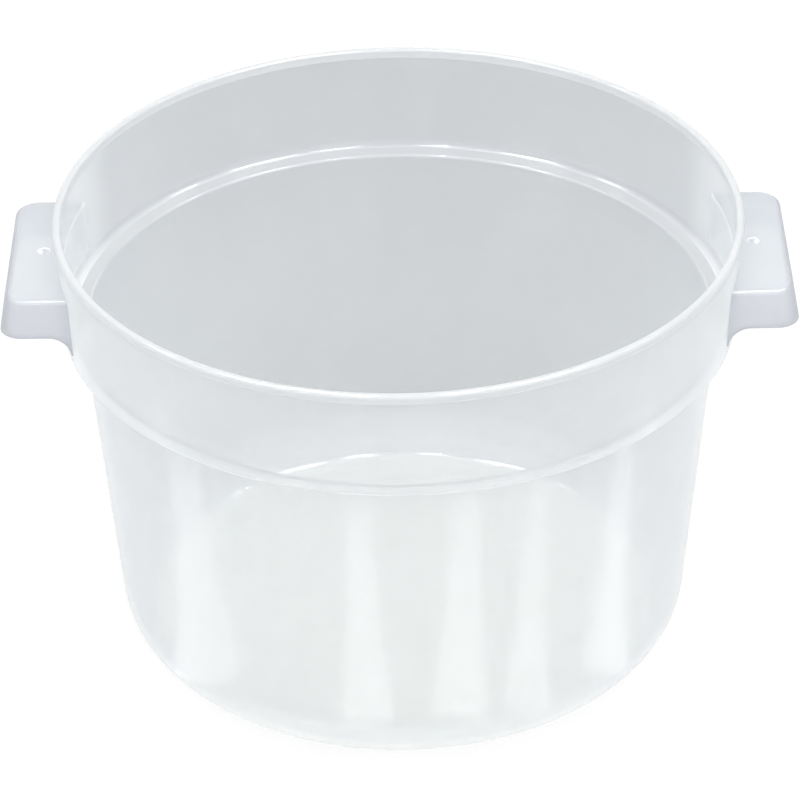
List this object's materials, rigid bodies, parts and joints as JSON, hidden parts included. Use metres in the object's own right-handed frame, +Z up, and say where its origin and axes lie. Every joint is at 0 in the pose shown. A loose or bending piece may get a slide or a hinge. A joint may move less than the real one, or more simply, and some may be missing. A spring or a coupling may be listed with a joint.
{
  "type": "dough proofing container",
  "caption": "Round translucent tub for proofing dough: tapered body, wider stacking collar, rounded rim and hollow grip handles on opposite sides.",
  "frame": {"origin": "middle of the foot, on the surface the container stands on", "axes": "+Z up through the open mouth, +X towards the right handle, +Y to the back"},
  "size_m": [0.3492, 0.304, 0.213],
  "materials": {
    "vessel_plastic": "satin, milky translucent polypropylene",
    "handle_plastic": "satin, milky translucent polypropylene, denser because the walls overlap"
  },
  "bodies": {
    "root": {"base": "vessel_plastic", "body_wall": "vessel_plastic", "stacking_collar": "vessel_plastic", "rim_bead": "vessel_plastic", "left_handle": "handle_plastic", "right_handle": "handle_plastic"}
  },
  "joints": []
}
